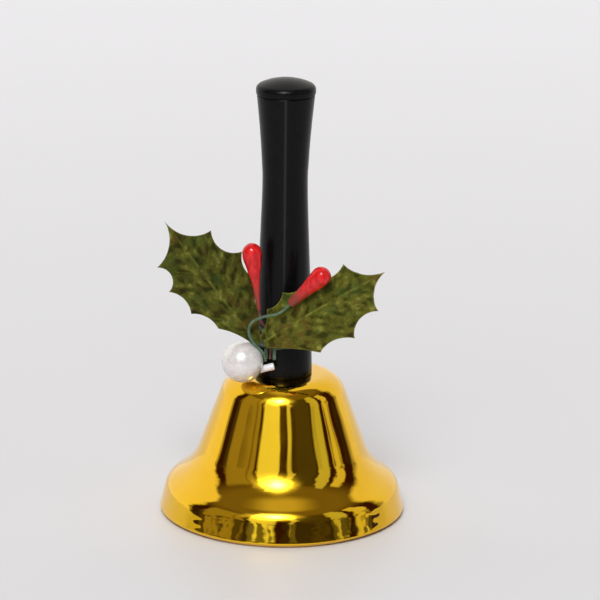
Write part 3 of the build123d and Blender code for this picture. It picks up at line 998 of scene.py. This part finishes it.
def build_tie(green):
    """One wire wound three times over the tape, its ends twisted together behind the handle."""
    around = wrap_radius(TAPE_THICKNESS + 0.02 + TIE_WIRE)
    start = math.radians(TWIST_DEGREES)
    middle = (TAPE_LOW + TAPE_HIGH) / 2
    pitch = 2 * TIE_WIRE + 0.04
    route = []
    for k in range(TIE_TURNS * 120 + 1):
        angle = start + TURN * k / 120
        z = middle + pitch * (k / 120 - TIE_TURNS / 2) * 0.85
        route.append(polar(around(angle), angle, z))
    out = np.array((math.cos(start), math.sin(start), 0))
    side = np.array((-math.sin(start), math.cos(start), 0))
    root = FOOT_RADIUS + TAPE_THICKNESS + TIE_WIRE
    tail = flowing(
        [
            out * (root + 0.3) + (0, 0, middle + 0.35),
            out * (root + 2.4) + (0, 0, middle + 0.35),
            out * (root + 3.2) + (0, 0, middle - 1.2),
            out * (root + 3.4) + (0, 0, middle - 4.2),
        ],
        120,
    )
    strands = []
    for half in (0, 1):
        strand = []
        for k, spot in enumerate(tail):
            a = half * math.pi + k / 120 * 3.2 * TURN
            grow = min(1.0, k / 12)
            strand.append(spot + 0.33 * grow * (side * math.cos(a) + np.cross(out, side) * math.sin(a)))
        strands.append(strand)
    whole = strands[0][::-1] + [np.array(p) for p in route] + strands[1]
    line, stations = evenly(np.array(whole), 0.14)
    points, faces, fold = tube(line, stations, wrapped(TIE_WIRE * 0.95, 0.9), 12)
    fitted("twisted_tie", "tie_wire", (points, faces), green, {"fold": fold})


# ---- hanger and clapper -----------------------------------------------------------------------------
SCREW_RADIUS = 1.5
SCREW_TOP = 58.0
THREAD_PITCH = 0.8
UNDER_CROWN = CROWN_Z - WALL
NUT_TOP = UNDER_CROWN - 0.6
NUT_HEIGHT = 2.0
NUT_BOTTOM = NUT_TOP - NUT_HEIGHT
NUT_FLAT = 2.75
WASHER_RADIUS = 4.5
EYE_WIRE = 0.7
EYE_RADIUS = 2.2
EYE_Z = 37.0
LINK_WIRE = 0.6
LINK_RADIUS = 2.6
LINK_Z = 33.8
ROD_WIRE = 0.6
ROD_EYE_RADIUS = 2.0
ROD_EYE_Z = 30.7
BALL_RADIUS = 5.5
BALL_Z = 8.6


def joined(*meshes):
    """One list of points and one of faces from several."""
    points, faces = [], []
    for more_points, more_faces in meshes:
        first = len(points)
        points += list(more_points)
        faces += [tuple(first + k for k in face) for face in more_faces]
    return points, faces


def wire_mesh(route, radius, step=0.12, sides=20):
    """A drawn wire along a route, very slightly uneven."""
    line, stations = evenly(np.array(route, float), step)

    def drawn(station, angle):
        return radius * (1 + 0.015 * math.sin(station * 1.7 + 2 * angle)), 0.0

    points, faces, _ = tube(line, stations, drawn, sides)
    return points, faces


def ring_points(radius, height, start, end, count=90):
    """Points round a ring in the XZ plane, from one angle in degrees to another."""
    turns = np.radians(np.linspace(start, end, count))
    return [(radius * math.cos(a), 0.0, height + radius * math.sin(a)) for a in turns]


def thread_cut(radius, height, angle):
    """Relief of the screw: a helical groove along its upper part."""
    if radius < SCREW_RADIUS - 0.05:
        return 0.0
    fade = min(1.0, max(0.0, (height - EYE_Z - 3.6) / 0.8))
    turn = (height / THREAD_PITCH - angle / TURN) % 1.0
    return -0.24 * fade * abs(2 * turn - 1) ** 0.8


def build_hanger(zinc):
    shank = [(0.0, SCREW_TOP), (SCREW_RADIUS - 0.55, SCREW_TOP), (SCREW_RADIUS - 0.06, SCREW_TOP - 0.5)]
    root = EYE_Z + EYE_RADIUS
    shank += [(SCREW_RADIUS, z) for z in np.arange(SCREW_TOP - 0.6, root + 0.75, -0.1)]
    shank += [(SCREW_RADIUS - 0.15, root + 0.35), (EYE_WIRE + 0.35, root + 0.1)]
    shank += [(EYE_WIRE, root), (0.0, root - 0.1)]
    loop = [(0.0, 0.0, root + 0.5)] + ring_points(EYE_RADIUS, EYE_Z, 84, -243)
    parts = joined(lathe(shank, 48, relief=thread_cut), wire_mesh(flowing(loop, 500), EYE_WIRE))
    fitted("eye_screw", "screw_eye", parts, zinc)

    bore = SCREW_RADIUS + 0.15
    top, bottom, edge = UNDER_CROWN, NUT_TOP, 0.12
    outline = [(bore + edge, top), (WASHER_RADIUS - 2 * edge, top), (WASHER_RADIUS - edge, top - 0.04)]
    outline += [(WASHER_RADIUS, top - 2 * edge), (WASHER_RADIUS, bottom + edge)]
    outline += [(WASHER_RADIUS - 0.05, bottom), (3.2, bottom), (bore + 0.05, bottom)]
    outline += [(bore, bottom + edge), (bore, top - edge)]
    fitted("plate_washer", "inner_washer", lathe(outline, 96, closed=True), zinc)

    bore = SCREW_RADIUS + 0.05

    def hexagon(radius, height, angle):
        if radius < NUT_FLAT - 0.1:
            return 0.0
        flat = NUT_FLAT / math.cos(angle % (math.pi / 3) - math.pi / 6)
        depth = min(NUT_TOP - height, height - NUT_BOTTOM)
        return min(flat, NUT_FLAT - 0.02 + 1.75 * max(0.0, depth)) - radius

    chamfer = [0.0, 0.06, 0.12, 0.18, 0.24, 0.3]
    depths = chamfer + [0.6, 1.0, 1.4] + [NUT_HEIGHT - d for d in chamfer[::-1]]
    outline = [(bore, NUT_TOP - 0.2), (bore + 0.2, NUT_TOP), (2.3, NUT_TOP)]
    outline += [(NUT_FLAT, NUT_TOP - depth) for depth in depths]
    outline += [(2.3, NUT_BOTTOM), (bore + 0.2, NUT_BOTTOM), (bore, NUT_BOTTOM + 0.2)]
    nut = lathe(outline, 144, closed=True, relief=hexagon)
    fitted("hex_nut", "clamp_nut", nut, zinc)


def build_clapper(zinc, dull_gold):
    turns = np.radians(np.linspace(4, 356, 160))
    route = [(0.0, LINK_RADIUS * math.cos(a), LINK_Z + LINK_RADIUS * math.sin(a)) for a in turns]
    ring = wire_mesh(route, LINK_WIRE)
    fitted("split_link", "clapper_link", ring, zinc, body="link")

    neck = ROD_EYE_Z - ROD_EYE_RADIUS
    route = [(0.0, 0.0, z) for z in np.linspace(BALL_Z + 0.1, neck - 0.9, 20)]
    route += ring_points(ROD_EYE_RADIUS, ROD_EYE_Z, -72, 254)
    rod = wire_mesh(flowing(route, 900), ROD_WIRE)
    fitted("rod_with_eye", "clapper_rod", rod, zinc, body="clapper")

    hole = ROD_WIRE + 0.03
    mouth = math.asin(hole / BALL_RADIUS)
    outline = [(0.0, BALL_Z + 0.05), (hole, BALL_Z + 0.05), (hole, BALL_Z + BALL_RADIUS - 0.3)]
    for a in np.linspace(mouth + 0.03, math.pi, 110):
        outline.append((BALL_RADIUS * math.sin(a), BALL_Z + BALL_RADIUS * math.cos(a)))
    outline[-1] = (0.0, BALL_Z - BALL_RADIUS)

    def pressed(radius, height, angle):
        if radius < hole + 0.1:
            return 0.0
        seam = -0.07 * math.exp(-(((height - BALL_Z) / 0.12) ** 2))
        spot = Vector(polar(radius, angle, height)) / 3
        return seam + 0.012 * noise.noise(spot)

    ball = lathe(outline, 128, relief=pressed)
    fitted("pressed_ball", "clapper_ball", ball, dull_gold, body="clapper")


# ---- studio ----------------------------------------------------------------------------------------
# Soft shapes in the world, which light the bell and which its polish mirrors. They were placed so that
# it mirrors a pattern like the photograph's: azimuth (0 towards the camera, to the right positive), half
# width, elevation, half height, softness of the edges, all in degrees, then brightness and tint.
WARM = (1.0, 0.88, 0.72)
PLAIN = (1.0, 0.98, 0.94)
COOL = (0.92, 1.0, 1.06)
ROOM = [
    (-65, 18, 18, 28, 8, 0.33, WARM),
    (-42, 4, 30, 24, 4, 0.34, WARM),
    (-20.5, 13, 26, 36, 4, 1.00, COOL),
    (13, 4, 28, 24, 4, 0.75, COOL),
    (34, 15, 20, 30, 6, 0.075, WARM),
    (60, 8, 22, 30, 4, 0.62, COOL),
    (84, 7, 20, 26, 4, 0.72, PLAIN),
]
LEFT_BACK, RIGHT_BACK = -99, 111
WAVER = 22.0
SKYLIGHT_AZIMUTH, SKYLIGHT_WIDTH = -9.0, 27.0
SKYLIGHT_ELEVATION, SKYLIGHT_HEIGHT = 48.0, 18.0
HALO_FALL, HALO_LEVEL = -2.4, 9.0
HEART_FALL, HEART_LEVEL = -6.5, 27.0


def build_world():
    """The only light: a room of soft bright and dark shapes all round, with a glare overhead."""
    world = bpy.data.worlds.new("studio")
    world.use_nodes = True
    bpy.context.scene.world = world
    tree = world.node_tree
    tree.nodes.clear()
    way = put(tree, "TexCoord", out=0)
    parts = tree.nodes.new("ShaderNodeSeparateXYZ")
    tree.links.new(way, parts.inputs[0])
    x, y, z = parts.outputs
    degrees = 180 / math.pi
    azimuth = times(tree, maths(tree, "ARCTAN2", x, times(tree, y, -1.0)), degrees)
    elevation = times(tree, maths(tree, "ARCSINE", z), degrees)
    # Nothing in a room is quite straight: its outlines lean and waver.
    lean = put(tree, "TexNoise", way, None, 3.0, 3.0, 0.6)
    azimuth = plus(tree, azimuth, times(tree, minus(tree, lean, 0.5), WAVER))
    colour = mix(tree, ramp(tree, elevation, 34, 60), (0.034, 0.010, 0.006), (0.19, 0.155, 0.11))
    for az, half_width, el, half_height, soft, level, tint in ROOM:
        wide = maths(tree, "ABSOLUTE", minus(tree, azimuth, az))
        high = maths(tree, "ABSOLUTE", minus(tree, elevation, el))
        within = ramp(tree, wide, half_width + soft / 2, half_width - soft / 2)
        level_with = ramp(tree, high, half_height + soft / 2, half_height - soft / 2)
        share = times(tree, within, level_with)
        colour = mix(tree, share, colour, tuple(level * t for t in tint))
    clutter = ramp(tree, put(tree, "TexNoise", way, None, 6.0, 1.5, 0.6), 0.45, 0.55)
    clutter = times(tree, clutter, ramp(tree, elevation, 20, 12, 0.0, 0.85))
    colour = mix(tree, clutter, colour, (0.04, 0.032, 0.026))
    # The pale back of the room starts further round towards the ceiling.
    back = mix(tree, ramp(tree, x, -0.9, 0.9), (1.0, 0.97, 0.93), (0.86, 0.84, 0.81))
    turned = plus(tree, azimuth, ramp(tree, elevation, 35, 72, 0.0, 30.0))
    colour = mix(tree, ramp(tree, turned, LEFT_BACK + 4, LEFT_BACK - 4), colour, back)
    turned = minus(tree, azimuth, ramp(tree, elevation, 35, 72, 0.0, 25.0))
    colour = mix(tree, ramp(tree, turned, RIGHT_BACK - 5, RIGHT_BACK + 5), colour, back)
    colour = mix(tree, ramp(tree, elevation, 68, 86), colour, (0.60, 0.56, 0.50))
    # A skylight: a soft glare with a bright heart.
    across = maths(tree, "DIVIDE", minus(tree, azimuth, SKYLIGHT_AZIMUTH), SKYLIGHT_WIDTH)
    upward = maths(tree, "DIVIDE", minus(tree, elevation, SKYLIGHT_ELEVATION), SKYLIGHT_HEIGHT)
    spread = plus(tree, times(tree, across, across), times(tree, upward, upward))
    halo = times(tree, maths(tree, "EXPONENT", times(tree, spread, HALO_FALL)), HALO_LEVEL)
    heart = times(tree, maths(tree, "EXPONENT", times(tree, spread, HEART_FALL)), HEART_LEVEL)
    glare = plus(tree, halo, heart)
    # The camera itself sees a plain pale backdrop in place of the room.
    shown = mix(tree, ramp(tree, elevation, 0, 14), (0.80, 0.785, 0.80), (0.84, 0.83, 0.835))
    seen = put(tree, "LightPath", out=0)
    background = tree.nodes.new("ShaderNodeBackground")
    lit = tree.nodes.new("ShaderNodeVectorMath")
    lit.operation = "MULTIPLY_ADD"
    tree.links.new(glare, lit.inputs[0])
    lit.inputs[1].default_value = (0.97, 1.0, 1.0)
    tree.links.new(colour, lit.inputs[2])
    tree.links.new(mix(tree, seen, lit.outputs[0], shown), background.inputs[0])
    output = tree.nodes.new("ShaderNodeOutputWorld")
    tree.links.new(background.outputs[0], output.inputs[0])


def build_floor(board):
    sides, rings = 96, (0.0, 0.15, 0.4, 1.0, 2.4, 6.0)
    points, faces = lathe([(r / MM, 0.0) for r in rings], sides)
    floor = mesh_piece("floor", points, [f[::-1] for f in faces], board)


CAMERA_DISTANCE = 1.08845
CAMERA_ELEVATION = math.radians(16.26)
CAMERA_ROLL = 0.0105
CAMERA_LENS = 215.16
CAMERA_SENSOR = 36
CAMERA_SHIFT = (0.0269, 0.0016)
TARGET_Z = 0.0663


def build_camera():
    data = bpy.data.cameras.new("camera")
    data.sensor_width = CAMERA_SENSOR
    data.lens = CAMERA_LENS
    data.shift_x, data.shift_y = CAMERA_SHIFT
    data.clip_start, data.clip_end = 0.05, 30
    camera = bpy.data.objects.new("camera", data)
    right = Vector((1, 0, 0))
    forward = Vector((0, math.cos(CAMERA_ELEVATION), -math.sin(CAMERA_ELEVATION)))
    up = right.cross(forward)
    rolled_right = right * math.cos(CAMERA_ROLL) + up * math.sin(CAMERA_ROLL)
    rolled_up = up * math.cos(CAMERA_ROLL) - right * math.sin(CAMERA_ROLL)
    turn = Matrix((rolled_right, rolled_up, -forward)).transposed()
    camera.rotation_mode = "QUATERNION"
    camera.rotation_quaternion = turn.to_quaternion()
    camera.location = Vector((0, 0, TARGET_Z)) - forward * CAMERA_DISTANCE
    bpy.context.scene.collection.objects.link(camera)
    bpy.context.scene.camera = camera


def main():
    build_camera()
    build_world()
    build_floor(floor_material())
    bpy.context.scene.view_settings.view_transform = "Standard"

    gold = gold_material("gold_plate", (0.93, 0.55, 0.014), (0.89, 0.51, 0.012), 0.035, 0.10, 0.21)
    dull_gold = gold_material("gold_inside", (0.80, 0.46, 0.06), (0.70, 0.39, 0.05), 0.16, 0.32, 0.03)
    black = black_material()
    zinc = zinc_material()
    # In each cloth the darkest colour also serves as painted shade in the pits, and the palest as painted
    # light on the crests.
    olive_dark = leaf_material(
        "olive_cloth_left",
        pit_shade_and_dark_tone=(0.026, 0.027, 0.002),
        body=(0.105, 0.108, 0.011),
        lit_crest_and_pale_tone=(0.34, 0.33, 0.055),
        brown=(0.145, 0.085, 0.014),
        green=(0.060, 0.098, 0.016),
    )
    olive_light = leaf_material(
        "olive_cloth_right",
        pit_shade_and_dark_tone=(0.040, 0.040, 0.003),
        body=(0.150, 0.152, 0.016),
        lit_crest_and_pale_tone=(0.50, 0.47, 0.090),
        brown=(0.20, 0.115, 0.022),
        green=(0.085, 0.140, 0.022),
    )
    red = lacquer_material()
    nacre = pearl_material()
    milky = milky_material()
    green = paper_material("green_paper", (0.13, 0.21, 0.13), (0.06, 0.11, 0.06), (0.22, 0.29, 0.18))
    reddish = paper_material("reddish_wire", (0.24, 0.075, 0.055), (0.12, 0.045, 0.03), (0.30, 0.14, 0.10))
    crepe = paper_material("crepe_paper", (0.12, 0.17, 0.075), (0.06, 0.09, 0.035), (0.19, 0.24, 0.12))

    build_bell(gold, dull_gold)
    build_handle(black)
    build_leaf("holly_leaf_left", "leaf_left", left_plane, left_edge, olive_dark, 1)
    build_leaf("holly_leaf_right", "leaf_right", right_plane, right_edge, olive_light, 2)
    build_wires(green, reddish)
    build_berries(red)
    build_pearl(nacre, milky)
    build_tape(crepe)
    build_tie(green)

    build_hanger(zinc)
    build_clapper(zinc, dull_gold)


main()
